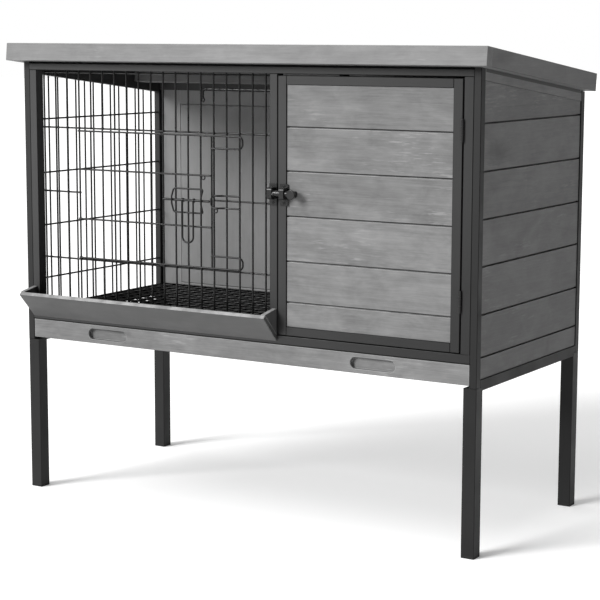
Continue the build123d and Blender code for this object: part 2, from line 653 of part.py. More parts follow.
def wire_bolt_guide():
    """A wire loop welded to the door bars. Both its sides bow out over the bolt rod."""
    top, low = BOLT_ROD_Z + 18.5, BOLT_ROD_Z - 20.5
    inner, outer = Y_DOOR_BARS - WIRE / 2 - GUIDE_WIRE / 2 + 0.1, GUIDE_Y
    side = [(inner, top), (outer, BOLT_ROD_Z + 6), (outer, BOLT_ROD_Z - 6), (inner, low)]
    points = [(GUIDE_X[0], y, z) for y, z in side]
    points += [(GUIDE_X[1], y, z) for y, z in reversed(side)]
    return bent_wire(points, GUIDE_WIRE / 2, 3.5, close=True)


def wire_bolt_rod():
    return rod_x(BOLT_ROD_X, BOLT_ROD_Y, BOLT_ROD_Z, BOLT_ROD_R)


def wire_bolt_handle():
    """A U-shaped pull that hangs from the rod by an eye at the top of each leg."""
    r = HANDLE_WIRE / 2
    y = BOLT_ROD_Y - 2.0
    low = BOLT_ROD_Z - HANDLE_DROP
    left, right = HANDLE_X
    points = [(left, y, BOLT_ROD_Z), (left, y, low), (right, y, low), (right, y, BOLT_ROD_Z)]
    eyes = [rod_x((x - r, x + r), BOLT_ROD_Y, BOLT_ROD_Z, EYE_R) for x in HANDLE_X]
    bore = rod_x((left - 5, right + 5), BOLT_ROD_Y, BOLT_ROD_Z, BOLT_ROD_R + RUNNING)
    return joined([bent_wire(points, r, 9.5)] + eyes) - bore


# ---- roof ---------------------------------------------------------------------------------
def roof_front_fascia():
    half = ROOF_WIDTH / 2
    return on_roof(block((-half, half), (0, FASCIA_THICK), (0, FASCIA_HEIGHT)))


def roof_rear_fascia():
    inner = ROOF_WIDTH / 2 - FASCIA_THICK
    y = (ROOF_LENGTH - FASCIA_THICK, ROOF_LENGTH)
    return on_roof(block((-inner, inner), y, (0, FASCIA_HEIGHT)))


def roof_side_fascia(sx):
    half = ROOF_WIDTH / 2
    x = sorted((sx * half, sx * (half - FASCIA_THICK)))
    return on_roof(block(x, (FASCIA_THICK, ROOF_LENGTH), (0, FASCIA_HEIGHT)))


def roof_layer(z):
    inner = ROOF_WIDTH / 2 - FASCIA_THICK
    return on_roof(block((-inner, inner), (FASCIA_THICK, ROOF_LENGTH - FASCIA_THICK), z))


def roof_battens():
    z = (BATTEN_BOTTOM, ROOF_PANEL_BOTTOM)
    return [on_roof(block((-BATTEN_X, BATTEN_X), (y, y + BATTEN_WIDTH), z)) for y in BATTEN_Y]


def prop_brackets():
    """A pivot plate for the prop at its right end, and a spring clip that holds its left end."""
    near, far = ROD_Y + ROD_R + 0.3, ROD_Y + ROD_R + 3.3
    front = ROD_Y - ROD_R - 0.3
    top = [(far, roof_z(far, BATTEN_BOTTOM)), (near, roof_z(near, BATTEN_BOTTOM))]
    plate = side_prism([(near, ROD_Z - 8), (far, ROD_Z - 8)] + top, (ROD_X - 8, ROD_X + 8))
    pin = rod_y(ROD_X, (ROD_Y - 3.5, far), ROD_Z, 1.5)
    back = side_prism([(near, ROD_Z - 3), (far, ROD_Z - 3)] + top, CLIP_X)
    bridge = block(CLIP_X, (front - 1.8, far), (ROD_Z + ROD_R + 0.3, ROD_Z + ROD_R + 2.1))
    prong = block(CLIP_X, (front - 1.8, front), (ROD_Z - 3, ROD_Z + ROD_R + 0.3))
    return [plate + pin, joined([back, bridge, prong])]


def prop_rod():
    """A round rod with an eye at its pivot. Its free end turns down to a small ring."""
    tip = ROD_X - ROD_REACH
    low = ROD_Z - 15.0
    shaft = bent_wire([(ROD_X - 4, ROD_Y, ROD_Z), (tip, ROD_Y, ROD_Z), (tip, ROD_Y, low)], ROD_R, 5.0)
    ring = Pos(tip, ROD_Y, low - 2.6) * Rot(X=90) * Torus(2.8, 1.2)
    eye = rod_y(ROD_X, (ROD_Y - 2.4, ROD_Y + 2.2), ROD_Z, 4.5)
    bore = rod_y(ROD_X, (ROD_Y - 9, ROD_Y + 9), ROD_Z, 1.5 + RUNNING)
    return joined([shaft, ring, eye]) - bore


# ---- write every sub-part -----------------------------------------------------------------
def main():
    os.makedirs("parts", exist_ok=True)
    corners = {
        "front_left": (-1, True),
        "front_right": (1, True),
        "rear_left": (-1, False),
        "rear_right": (1, False),
    }
    for name, place in corners.items():
        save(f"{name}_leg", leg(*place))
        save(f"{name}_post", post(*place))
    save("foot_plugs", [foot_plug(*place) for place in corners.values()])

    save("front_top_rail", front_top_rail())
    save("front_bottom_rail", front_member((-POST_IN, POST_IN), (FRONT_RAIL_BOTTOM, FRONT_RAIL_TOP)))
    stile_z = (FRONT_RAIL_TOP, TOP_RAIL_BOTTOM)
    save("front_left_stile", front_member((-POST_IN, LEFT_STILE_IN), stile_z))
    save("centre_stile", front_member(CENTRE_STILE, stile_z))
    save("front_right_stile", front_member((RIGHT_STILE_IN, POST_IN), stile_z))
    save("rear_top_rail", rear_top_rail())
    save("rear_bottom_rail", rear_bottom_rail())
    save("left_top_rail", side_top_rail(-1))
    save("right_top_rail", side_top_rail(1))
    save("side_bottom_rails", [bottom_rail_side(s) for s in (-1, 1)])

    save("right_wall_boards", right_wall_boards())
    save("back_wall_frame", back_wall_frame())
    save("back_wall_panel", back_wall_panel())
    save("partition", partition())
    save("wire_floor", wire_floor())
    save("nest_floor", nest_floor())
    save("floor_bearers", floor_bearers())

    save("mesh_panel_top", mesh_panel_top())
    save("mesh_panel_bottom", mesh_panel_bottom())
    save("mesh_panel_sides", mesh_panel_sides())
    save("left_mesh_panel", left_mesh_panel())
    save("wire_latch_keeper", wire_latch_keeper())
    save("trough_front_board", trough_front_board())
    save("trough_ends", trough_ends())

    save("roof_hinge_frame_leaves", [roof_hinge_frame_leaf(x) for x in ROOF_HINGE_X])
    save("roof_hinge_leaves", [roof_hinge_leaf(x) for x in ROOF_HINGE_X])
    save("door_hinge_frame_leaves", [door_hinge_frame_leaf(z) for z in DOOR_HINGE_Z])
    save("door_hinge_leaves", [door_hinge_leaf(z) for z in DOOR_HINGE_Z])

    save("door_stiles", door_stiles())
    save("door_rails", door_rails())
    save("door_boards", door_boards())
    save("bolt_keeper", staple(KEEPER_X, (65.2, 78.8)))
    save("bolt_guide", staple(GUIDE_STAPLE_X, (84.8, 99.2)))
    save("door_bolt", door_bolt())

    save("drawer_front", drawer_front())
    save("drawer_walls", drawer_walls())
    save("drawer_base", drawer_base())
    save("drawer_runners", [drawer_runner(s) for s in (-1, 1)])

    save("wire_door_grille", wire_door_grille())
    save("wire_bolt_guide", wire_bolt_guide())
    save("wire_bolt_rod", wire_bolt_rod())
    save("wire_bolt_handle", wire_bolt_handle())

    save("roof_front_fascia", roof_front_fascia())
    save("roof_rear_fascia", roof_rear_fascia())
    save("roof_side_fascias", [roof_side_fascia(s) for s in (-1, 1)])
    save("roof_panel", roof_layer((ROOF_PANEL_BOTTOM, ROOF_PANEL_BOTTOM + ROOF_PANEL_THICK)))
    save("roof_felt", roof_layer((ROOF_PANEL_BOTTOM + ROOF_PANEL_THICK, FASCIA_HEIGHT)))
    save("roof_battens", roof_battens())
    save("prop_brackets", prop_brackets())
    save("prop_rod", prop_rod())


main()
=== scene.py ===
import json
import math

import bmesh
import bpy
from mathutils import Matrix, Vector
from mathutils.bvhtree import BVHTree


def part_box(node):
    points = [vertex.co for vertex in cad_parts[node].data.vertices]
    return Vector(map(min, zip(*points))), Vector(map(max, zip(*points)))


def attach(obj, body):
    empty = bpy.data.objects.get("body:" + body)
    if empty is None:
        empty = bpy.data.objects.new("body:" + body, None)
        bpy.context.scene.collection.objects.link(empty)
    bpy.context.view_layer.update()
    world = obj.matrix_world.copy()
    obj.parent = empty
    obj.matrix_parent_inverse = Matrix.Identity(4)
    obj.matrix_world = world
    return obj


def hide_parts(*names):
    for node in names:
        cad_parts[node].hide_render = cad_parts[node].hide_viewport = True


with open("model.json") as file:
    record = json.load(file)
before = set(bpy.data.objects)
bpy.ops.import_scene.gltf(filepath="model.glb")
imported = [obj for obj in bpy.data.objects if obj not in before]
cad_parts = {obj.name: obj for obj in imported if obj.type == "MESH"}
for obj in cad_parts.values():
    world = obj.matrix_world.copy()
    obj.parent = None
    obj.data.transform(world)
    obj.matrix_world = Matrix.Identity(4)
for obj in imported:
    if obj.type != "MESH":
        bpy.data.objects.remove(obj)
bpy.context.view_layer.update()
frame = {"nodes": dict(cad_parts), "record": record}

nodes = frame["nodes"]
node_body = {n: b for b, names in frame["record"]["behaviour"]["bodies"].items() for n in names}
node_slot = {row["node"]: row["material_slot"] for row in frame["record"]["subparts"]}


# ---- shader helpers -----------------------------------------------------------------------
BLACK = (0, 0, 0, 1)
WHITE = (1, 1, 1, 1)
GRAIN_TURN = {"x": (0, 0, 0), "y": (0, 0, math.pi / 2), "z": (0, math.pi / 2, 0)}


def grey(value, warm=0.0):
    """A neutral colour. warm above 0 leans a little to brown, below 0 to blue."""
    return (value * (1 + warm), value, value * (1 - warm), 1.0)


class Shader:
    """A small wrapper that makes and links nodes in one material."""

    def __init__(self, name):
        self.material = bpy.data.materials.new(name)
        self.material.use_nodes = True
        self.tree = self.material.node_tree
        self.surface = self.tree.nodes["Principled BSDF"]

    def node(self, kind, **settings):
        made = self.tree.nodes.new(kind)
        for key, value in settings.items():
            setattr(made, key, value)
        return made

    def put(self, socket, value):
        if isinstance(value, bpy.types.NodeSocket):
            self.tree.links.new(value, socket)
        else:
            socket.default_value = value

    def math(self, operation, a, b=0.0, c=0.0, clamp=False):
        made = self.node("ShaderNodeMath", operation=operation, use_clamp=clamp)
        for socket, value in zip(made.inputs, (a, b, c)):
            self.put(socket, value)
        return made.outputs[0]

    def swing(self, value, amount, onto):
        """Adds a value from 0 to 1 to another one, measured from its middle and times an amount."""
        return self.math("MULTIPLY_ADD", self.math("SUBTRACT", value, 0.5), amount, onto)

    def vector(self, operation, a, b=(0, 0, 0), c=(0, 0, 0)):
        made = self.node("ShaderNodeVectorMath", operation=operation)
        for socket, value in zip(made.inputs, (a, b, c)):
            self.put(socket, value)
        return made.outputs[0]

    def noise(self, place, scale, detail=4.0, rough=0.55, distortion=0.0):
        made = self.node("ShaderNodeTexNoise")
        self.put(made.inputs["Vector"], place)
        made.inputs["Scale"].default_value = scale
        made.inputs["Detail"].default_value = detail
        made.inputs["Roughness"].default_value = rough
        made.inputs["Distortion"].default_value = distortion
        return made.outputs["Fac"]

    def stretched(self, place, along, across, detail=3.0, rough=0.55, distortion=0.0):
        """Noise with its own scale along X and another across it, both in cells per metre."""
        scaled = self.vector("MULTIPLY", place, (along, across, across))
        return self.noise(scaled, 1.0, detail, rough, distortion)

    def span(self, value, low, high, to_low=0.0, to_high=1.0, smooth=True):
        """Maps low and high to new values, and holds them past both ends."""
        made = self.node("ShaderNodeMapRange")
        if smooth:
            made.interpolation_type = "SMOOTHSTEP"
        limits = {"Value": value, "From Min": low, "From Max": high, "To Min": to_low, "To Max": to_high}
        for key, limit in limits.items():
            self.put(made.inputs[key], limit)
        return made.outputs["Result"]

    def mix(self, factor, a, b):
        made = self.node("ShaderNodeMix", data_type="RGBA")
        self.put(made.inputs[0], factor)
        self.put(made.inputs[6], a)
        self.put(made.inputs[7], b)
        return made.outputs[2]

    def attribute(self, name):
        return self.node("ShaderNodeAttribute", attribute_name=name).outputs["Fac"]

    def place(self):
        return self.node("ShaderNodeTexCoord").outputs["Object"]

    def place_along(self, grain):
        """Object coordinates, turned so that the grain runs along their X."""
        turned = self.node("ShaderNodeMapping", vector_type="POINT")
        turned.inputs["Rotation"].default_value = GRAIN_TURN[grain]
        self.put(turned.inputs["Vector"], self.place())
        return turned.outputs["Vector"]

    def split(self, kind, value):
        """The three outputs of a node that takes a colour or a vector apart."""
        made = self.node(kind)
        self.put(made.inputs[0], value)
        return made.outputs

    def worn_and_highlit_edges(self, scale, low, high, least):
        """How pale the rounded edges are, as rubbed wear and painted highlight, in patches that run from
        least to 1.
        """
        patches = self.span(self.noise(self.place(), scale, 3.0), low, high, least, 1.0)
        return self.math("MULTIPLY", self.attribute("edge"), patches)

    def bump(self, height, strength, distance, normal=None):
        made = self.node("ShaderNodeBump")
        made.inputs["Strength"].default_value = strength
        made.inputs["Distance"].default_value = distance
        self.put(made.inputs["Height"], height)
        if normal is not None:
            self.put(made.inputs["Normal"], normal)
        return made.outputs["Normal"]


# ---- stained wood -------------------------------------------------------------------------
SEED_SHIFT = (0.731, 0.417, 0.593)    # metres that one unit of a board's seed moves its pattern

# Noise: cells to the metre along the grain and across it, then detail, roughness and distortion where set.
WAVES = (1.6, 7.0, 2.0)
FIBRES = (34.0, 900.0, 3.0, 0.6)
STREAKS = (26.0, 240.0, 4.0, 0.65)
CLOUDS = (7.5, 16.0, 4.0, 0.6, 0.8)
SPOTS = (30.0, 55.0, 3.0, 0.6, 0.5)
PATCHES = (6.0, 13.0, 2.0, 0.5, 1.2)
PAINTED_GRAIN = (12.0, 340.0, 3.0, 0.6)

GRAIN_LEAN = 0.6                      # how far the growth lines lean through the board's thickness
WAVE_RISE = 0.022                     # metres that the waves shift the growth lines at most,
KNOT_RISE = 0.012                     # and that a knot does
LINES_PER_METRE = 210.0               # cells of the growth lines' noise, across the grain,
LINE_CELLS_ALONG = 3.0                # and along it

KNOT_CELLS = (4.2, 9.5, 9.5)          # cells to the metre, along the grain and across, with one knot at most
KNOT_RAGS = (30.0, 60.0, 60.0)        # the same for the noise that makes a knot's outline ragged,
KNOT_WANDER = (0.24, 0.24, 0.24)      # and how far it moves the outline, in cells
BEND_REACH = (0.0, 0.40)              # in cells from a knot's middle: where the grain stops bending round it,
HALO_REACH = (0.03, 0.24)             # where its ring fades out
HEART_REACH = (0.03, 0.10)            # and where its heart does

HEART_TONE = 0.38                     # tones as shares of the board's own
# the painted shade in seams, in the rail's step and under edges is this dark:
SHADE_TONE = 0.1


def knots_in(s, p, share):
    """Dim knots in a share of the cells: how far each one bends the grain, its ring and its heart."""
    ragged = s.node("ShaderNodeTexNoise")
    s.put(ragged.inputs["Vector"], s.vector("MULTIPLY", p, KNOT_RAGS))
    ragged.inputs["Scale"].default_value = 1.0
    cells = s.node("ShaderNodeTexVoronoi", feature="F1", distance="EUCLIDEAN")
    cells.inputs["Scale"].default_value = 1.0
    cells.inputs["Randomness"].default_value = 0.9
    cell_place = s.vector("MULTIPLY", p, KNOT_CELLS)
    s.put(cells.inputs["Vector"], s.vector("MULTIPLY_ADD", ragged.outputs["Color"], KNOT_WANDER, cell_place))
    reach = cells.outputs["Distance"]
    chance = s.split("ShaderNodeSeparateColor", cells.outputs["Color"])
    kept = s.span(chance[0], 0.98 - share, 1.02 - share, smooth=False)
    strength = s.math("MULTIPLY", kept, s.span(chance[1], 0.0, 1.0, 0.35, 1.0, smooth=False))
    bend = s.math("MULTIPLY", s.span(reach, *BEND_REACH, 1.0, 0.0), kept)
    halo = s.math("MULTIPLY", s.span(reach, *HALO_REACH, 1.0, 0.0), strength)
    heart = s.math("MULTIPLY", s.span(reach, *HEART_REACH, 1.0, 0.0), strength)
    return bend, halo, heart


def growth_lines(s, p, bend):
    """Growth lines along the grain, a little wavy and bent round the knots."""
    x, y, z = s.split("ShaderNodeSeparateXYZ", p)
    level = s.math("MULTIPLY_ADD", y, GRAIN_LEAN, z)
    level = s.math("MULTIPLY_ADD", s.stretched(p, *WAVES), WAVE_RISE, level)
    level = s.math("MULTIPLY_ADD", bend, KNOT_RISE, level)
    line_place = s.node("ShaderNodeCombineXYZ")
    s.put(line_place.inputs[0], s.math("MULTIPLY", x, LINE_CELLS_ALONG))
    s.put(line_place.inputs[1], s.math("MULTIPLY", level, LINES_PER_METRE))
    return s.noise(line_place.outputs[0], 1.0, 3.0, 0.6)


def stained_wood(name, grain, tone, spread, knots, blooms, edge, relief=0.3):
    """Softwood under a thin grey stain: fine grain, soft clouds, pale blooms of dry stain and dim knots.

    spread is how far the tone varies, knots is the share of the cells that have one, blooms is how strong the
    blooms are, and edge is how much paler than the palest wood the pale edges are, part rubbed wear and part
    painted highlight.
    """
    s = Shader(name)
    shift = s.vector("SCALE", SEED_SHIFT)
    s.put(shift.node.inputs["Scale"], s.attribute("seed"))
    p = s.vector("ADD", s.place_along(grain), shift)
    bend, halo, heart = knots_in(s, p, knots)
    lines = growth_lines(s, p, bend)
    fibres = s.stretched(p, *FIBRES)

    value = s.swing(s.stretched(p, *CLOUDS), 1.25, 0.42)
    value = s.swing(lines, 0.55, value)
    value = s.swing(fibres, 0.6, value)
    value = s.swing(s.stretched(p, *SPOTS), 0.6, value)
    patches = s.span(s.stretched(p, *PATCHES), 0.50, 0.68)
    bloom = s.math("MULTIPLY", s.span(s.stretched(p, *STREAKS), 0.53, 0.66), patches)
    value = s.math("MULTIPLY_ADD", bloom, blooms, value)
    value = s.math("MULTIPLY_ADD", halo, -0.55, value, clamp=True)

    pale = tone * (1 + spread)
    colour = s.mix(value, grey(tone * (1 - spread)), grey(pale))
    board_tone = s.noise(s.vector("MULTIPLY", shift, (9.0, 9.0, 9.0)), 1.0, 1.0)
    colour = s.mix(s.span(board_tone, 0.3, 0.7, 0.0, 0.12, smooth=False), colour, BLACK)
    colour = s.mix(s.math("MULTIPLY", heart, 0.6), colour, grey(tone * HEART_TONE))
    # pale edges, part rubbed wear and part painted highlight
    colour = s.mix(s.worn_and_highlit_edges(38.0, 0.35, 0.65, 0.45), colour, grey(min(pale * edge, 1)))
    # Painted shade on the marked faces: in the boards' seams, in the strip under the roof and on rounded
    # edges that look down.
    colour = s.mix(s.math("MULTIPLY", s.attribute("painted_shade"), 0.85), colour, grey(tone * SHADE_TONE))
    s.put(s.surface.inputs["Base Color"], colour)
    s.put(s.surface.inputs["Roughness"], s.span(value, 0.0, 1.0, 0.53, 0.7, smooth=False))
    s.surface.inputs["Specular IOR Level"].default_value = 0.3
    height = s.math("MULTIPLY_ADD", fibres, 0.5, s.math("MULTIPLY", lines, 0.5))
    s.put(s.surface.inputs["Normal"], s.bump(height, relief, 0.0005))
    return s.material


def woods(name, tones, **look):
    """The same stained wood for each way the grain runs, with a tone for each."""
    return {grain: stained_wood(f"{name}_{grain}", grain, tone, **look) for grain, tone in tones.items()}


# ---- paint, coatings and felt -------------------------------------------------------------
# The studio light doesn't give the frame and legs the uneven light and shade that the photo has, so their
# paint carries it
# as painted shade: it darkens to the right over one stretch of X, and downwards over one stretch of Z.
SHADE_X = (-0.15, 0.43)
SHADE_Z = (0.31, 0.56)
SHADE_LOW = 0.35                       # how dark it gets at the bottom, where 1 is black


def painted_shade_gradient(s, colour, shade_ratio):
    """Painted shade: paint that is shade_ratio times darker at the right of SHADE_X than at its left, and
    darker low down.
    """
    x, _, z = s.split("ShaderNodeSeparateXYZ", s.place())
    colour = s.mix(s.span(x, *SHADE_X, 0.0, 1.0 - 1.0 / shade_ratio, smooth=False), colour, BLACK)
    return s.mix(s.span(z, *SHADE_Z, SHADE_LOW, 0.0, smooth=False), colour, BLACK)


def painted(name, tone, rough, wear_and_highlight, speckle=900.0, metallic=0.0, sheen=0.2, grain=None, relief=0.0,
            shade_ratio=None):
    """Dark paint, plastic or powder coat: a faint mottle, fine specks, pale edges that are part rubbed wear
    and part painted highlight, and painted shade where marked.

    wear_and_highlight is how many times paler the pale edges are. grain is the way that the grain of the wood
    below runs, if any, and relief is how much of it shows. shade_ratio is for painted_shade_gradient(), if
    the paint carries painted shade.
    """
    s = Shader(name)
    mottle = s.noise(s.place(), 14.0, 4.0, 0.6)
    height = s.math("MULTIPLY", s.noise(s.place(), speckle, 2.0, 0.5), 0.5)
    value = s.swing(mottle, 0.7, 0.5)
    if grain:
        fibres = s.stretched(s.place_along(grain), *PAINTED_GRAIN)
        value = s.swing(fibres, relief, value)
        height = s.math("MULTIPLY_ADD", fibres, relief, height)
    colour = s.mix(value, grey(tone * 0.8), grey(tone * 1.2))
    # pale edges, part rubbed wear and part painted highlight
    colour = s.mix(s.worn_and_highlit_edges(60.0, 0.4, 0.7, 0.15), colour, grey(tone * wear_and_highlight))
    # Painted shade on the marked faces: the step under the roof, and the rounded edges that look down or are
    # all darkened.
    colour = s.mix(s.math("MULTIPLY", s.attribute("painted_shade"), 0.9), colour, BLACK)
    # painted shade: darker to the right and towards the bottom, for the paints that are given a ratio
    if shade_ratio:
        colour = painted_shade_gradient(s, colour, shade_ratio)
    s.put(s.surface.inputs["Base Color"], colour)
    s.surface.inputs["Metallic"].default_value = metallic
    s.surface.inputs["Specular IOR Level"].default_value = sheen
    s.put(s.surface.inputs["Roughness"], s.span(mottle, 0.3, 0.7, rough - 0.06, rough + 0.08, smooth=False))
    s.put(s.surface.inputs["Normal"], s.bump(height, 0.18, 0.0003))
    return s.material


def roofing_felt(name):
    """Mineral felt: pale and dark granules, blotches, and faint creases along its length."""
    s = Shader(name)
    place = s.place()
    grit = s.node("ShaderNodeTexVoronoi", feature="F1")
    grit.inputs["Scale"].default_value = 620.0
    s.put(grit.inputs["Vector"], place)
    granule = s.split("ShaderNodeSeparateColor", grit.outputs["Color"])[0]
    value = s.swing(s.noise(place, 7.0, 5.0, 0.6), 0.9, granule)
    s.put(s.surface.inputs["Base Color"], s.mix(value, grey(0.045, -0.02), grey(0.15, -0.02)))
    s.surface.inputs["Roughness"].default_value = 0.92
    creases = s.math("MULTIPLY", s.stretched(place, 1.5, 16.0, 2.0), 3.0)
    normal = s.bump(creases, 0.25, 0.002)
    s.put(s.surface.inputs["Normal"], s.bump(grit.outputs["Distance"], 0.5, 0.0008, normal))
    return s.material


# The boards and fascias whose grain runs along Y are on the sides, and their darker tones are painted shade.
boards = woods("stained_boards", {"x": 0.141, "y": 0.128}, spread=0.42, knots=0.5, blooms=0.6, edge=1.35)
fascia_wood = woods("fascia_boards", {"x": 0.168, "y": 0.135}, spread=0.32, knots=0.25, blooms=0.4, edge=1.0)
inner = woods("inner_boards", dict.fromkeys("xyz", 0.14), spread=0.25, knots=0.3, blooms=0.3, edge=1.1)
trough_wood = woods("trough", dict.fromkeys("xz", 0.085), spread=0.28, knots=0.1, blooms=0.35, edge=2.6)
sheet_wood = stained_wood("smooth_sheet", "z", 0.235, spread=0.14, knots=0.0, blooms=0.2, edge=1.1,
                          relief=0.12)

frame_paint = {
    grain: painted(f"charcoal_frame_{grain}", 0.038, rough=0.5, wear_and_highlight=3.2, grain=grain, relief=0.45, shade_ratio=2.2)
    for grain in "xyz"
}
post_paint = painted("charcoal_posts", 0.017, rough=0.48, wear_and_highlight=3.0, grain="z", relief=0.4, shade_ratio=1.7)
leg_coat = painted("leg_powder_coat", 0.014, rough=0.42, speckle=1500.0, wear_and_highlight=1.8, shade_ratio=1.4)
plug_plastic = painted("plug_plastic", 0.008, rough=0.55, speckle=2200.0, wear_and_highlight=1.5)
wire_coat = painted("wire_coat", 0.003, rough=0.28, speckle=2500.0, wear_and_highlight=1.3, sheen=0.3)
hardware = painted("dark_hardware", 0.012, rough=0.3, speckle=1800.0, wear_and_highlight=2.6, metallic=0.3, sheen=0.4)
screw_steel = painted("screw_steel", 0.16, rough=0.3, speckle=2400.0, wear_and_highlight=1.5, metallic=0.8)
tray_plastic = painted("tray_plastic", 0.045, rough=0.5, speckle=700.0, wear_and_highlight=1.3)
felt = roofing_felt("roofing_felt")


# ---- wooden pieces: the CAD's solids with rounded and shaded edges -------------------------
WELD = 1e-6                           # metres within which two vertices are one
FLAT = math.radians(0.6)              # faces that meet at less than this are made one
HARD = math.radians(30)               # edges sharper than this are rounded
LEVEL = 0.99                          # how squarely a face looks up or down, where 1 is exactly,
FACING = 0.9                          # and less squarely
LOOKS_UP = 0.6
LOOKS_DOWN = -0.3
BOARD_SKIN = 0.001                    # what lies deeper than this in a boarded panel is in a joint
LEDGE_BELOW = 0.008                   # the step in the front top rail is further than this below its top,
LEDGE_BEHIND = 0.004                  # and its upright face further than this behind its front
ROOF_SHADE = 0.005                    # how far the dark line on a side rail reaches below the roof
# Painted shade on rounded strips: on those that look down, or on all of them where a piece asks for dark
# arrises.
BOARD_STRIP = 0.35                    # how dark an edge that looks down is on boards,
OTHER_STRIP = 0.8                     # and on everything else
SEED_COUNT = 97                       # seeds start from a whole number below this,
SEED_STEP = 3.7                       # and the solids of one node are this far apart


def islands(bm):
    """Connected groups of vertices, in order from low to high, then left to right, then front to back."""
    seen, groups = set(), []
    for start in bm.verts:
        if start in seen:
            continue
        group, stack = [], [start]
        seen.add(start)
        while stack:
            v = stack.pop()
            group.append(v)
            for e in v.link_edges:
                other = e.other_vert(v)
                if other not in seen:
                    seen.add(other)
                    stack.append(other)
        groups.append(group)

    def place(group):
        centre = sum((v.co for v in group), Vector()) / len(group)
        return tuple(round(c, 4) for c in (centre.z, centre.x, centre.y))

    return sorted(groups, key=place)


def settle(piece, body, slot, *stands_for):
    """Gives a piece its body, and hides the CAD nodes that it stands for, if any. slot is not used."""
    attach(piece, body)
    if stands_for:
        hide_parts(*stands_for)
    return piece


def new_piece(name, bm, material):
    mesh = bpy.data.meshes.new(name)
    bm.to_mesh(mesh)
    bm.free()
    mesh.materials.append(material)
    piece = bpy.data.objects.new(name, mesh)
    bpy.context.scene.collection.objects.link(piece)
    return piece


def shade_joints(bm, shade, across):
    """Marks the faces within a boarded panel's thickness, and the boards' upper and lower edges."""
    low = min(v.co[across] for v in bm.verts)
    high = max(v.co[across] for v in bm.verts)
    for f in bm.faces:
        inside = all(low + BOARD_SKIN < v.co[across] < high - BOARD_SKIN for v in f.verts)
        f[shade] = 1.0 if inside or abs(f.normal.z) > LEVEL else 0.0


def shade_step(bm, shade):
    """Marks the two faces of the step in the front top rail, so that it reads as one dark line."""
    top = max(v.co.z for v in bm.verts)
    front = min(v.co.y for v in bm.verts)
    for f in bm.faces:
        centre = f.calc_center_median()
        ledge = f.normal.z > FACING and centre.z < top - LEDGE_BELOW
        upright = f.normal.y < -FACING and centre.y > front + LEDGE_BEHIND
        f[shade] = 1.0 if ledge or upright else 0.0


def shade_under_roof(bm, shade):
    """Cuts a side rail along a line just below the roof's fascia and marks what lies above as shaded."""
    fascia = [v.co for v in nodes["roof_side_fascias"].data.vertices]
    front = min(fascia, key=lambda c: (round(c.y, 4), c.z))
    rear = min(fascia, key=lambda c: c.z)
    up = Vector((1, 0, 0)).cross(rear - front).normalized()
    level = front - up * ROOF_SHADE
    bmesh.ops.bisect_plane(bm, geom=bm.verts[:] + bm.edges[:] + bm.faces[:], plane_co=level, plane_no=up)
    for f in bm.faces:
        if (f.calc_center_median() - level).dot(up) > 0:
            f[shade] = 1.0


def pale_tops(bm, edge):
    """Marks the faces that look up, so that they take the pale edge tone."""
    for f in bm.faces:
        f[edge] = 1.0 if f.normal.z > LOOKS_UP else 0.0


def seed_solids(bm, node, seed):
    """Gives each solid of a node a seed of its own, which starts from the node's name."""
    start = sum((i + 1) * ord(c) for i, c in enumerate(node)) % SEED_COUNT
    for i, group in enumerate(islands(bm)):
        for v in group:
            v[seed] = start + SEED_STEP * i


def round_edges(bm, width):
    """Rounds the hard edges and gives back the strips of faces that this makes."""
    hard = [e for e in bm.edges if len(e.link_faces) == 2 and e.calc_face_angle() > HARD]
    made = bmesh.ops.bevel(bm, geom=hard, offset=width, offset_type="OFFSET", segments=2, profile=0.5,
                           affect="EDGES", clamp_overlap=True)
    return made["faces"]


def eased(node, material, width, boarded=False, pale_rim=False, stepped=False, dark_arris=False,
          under_roof=False):
    """A sub-part with its hard edges rounded. It stands in for the CAD node, solid by solid.

    The rounded strips that look down get painted shade, and the others the pale edge tone of wear and painted
    highlight, or with dark_arris all get painted shade.
    """
    bm = bmesh.new()
    bm.from_mesh(nodes[node].data)
    bmesh.ops.remove_doubles(bm, verts=bm.verts, dist=WELD)
    bmesh.ops.dissolve_limit(bm, angle_limit=FLAT, verts=bm.verts, edges=bm.edges)
    seed = bm.verts.layers.float.new("seed")
    edge = bm.faces.layers.float.new("edge")
    # a mark for painted shade on faces, set by the functions below and on the rounded strips
    painted_shade = bm.faces.layers.float.new("painted_shade")
    if boarded:
        shade_joints(bm, painted_shade, across=0 if node.startswith("right") else 1)
    if stepped:
        shade_step(bm, painted_shade)
    if pale_rim:
        pale_tops(bm, edge)
    if under_roof:
        shade_under_roof(bm, painted_shade)
    seed_solids(bm, node, seed)
    strips = round_edges(bm, width)
    for f in bm.faces:
        f.smooth = False
    for f in strips:
        shaded = dark_arris or f.normal.z < LOOKS_DOWN
        f[edge] = 0.0 if shaded else 1.0
        f[painted_shade] = (BOARD_STRIP if boarded else OTHER_STRIP) if shaded else 0.0
        f.smooth = True
    return settle(new_piece(f"{node}_eased", bm, material), node_body[node], node_slot[node], node)


def ease_all(table, width, **marks):
    """Rounds the edges of every node in a table of materials and names."""
    for material, names in table:
        for name in names.split():
            eased(name, material, width, **marks)


def recoat(material, names):
    """Gives CAD nodes that keep their own shape a new material."""
    for name in names.split():
        for slot in nodes[name].material_slots:
            slot.material = material


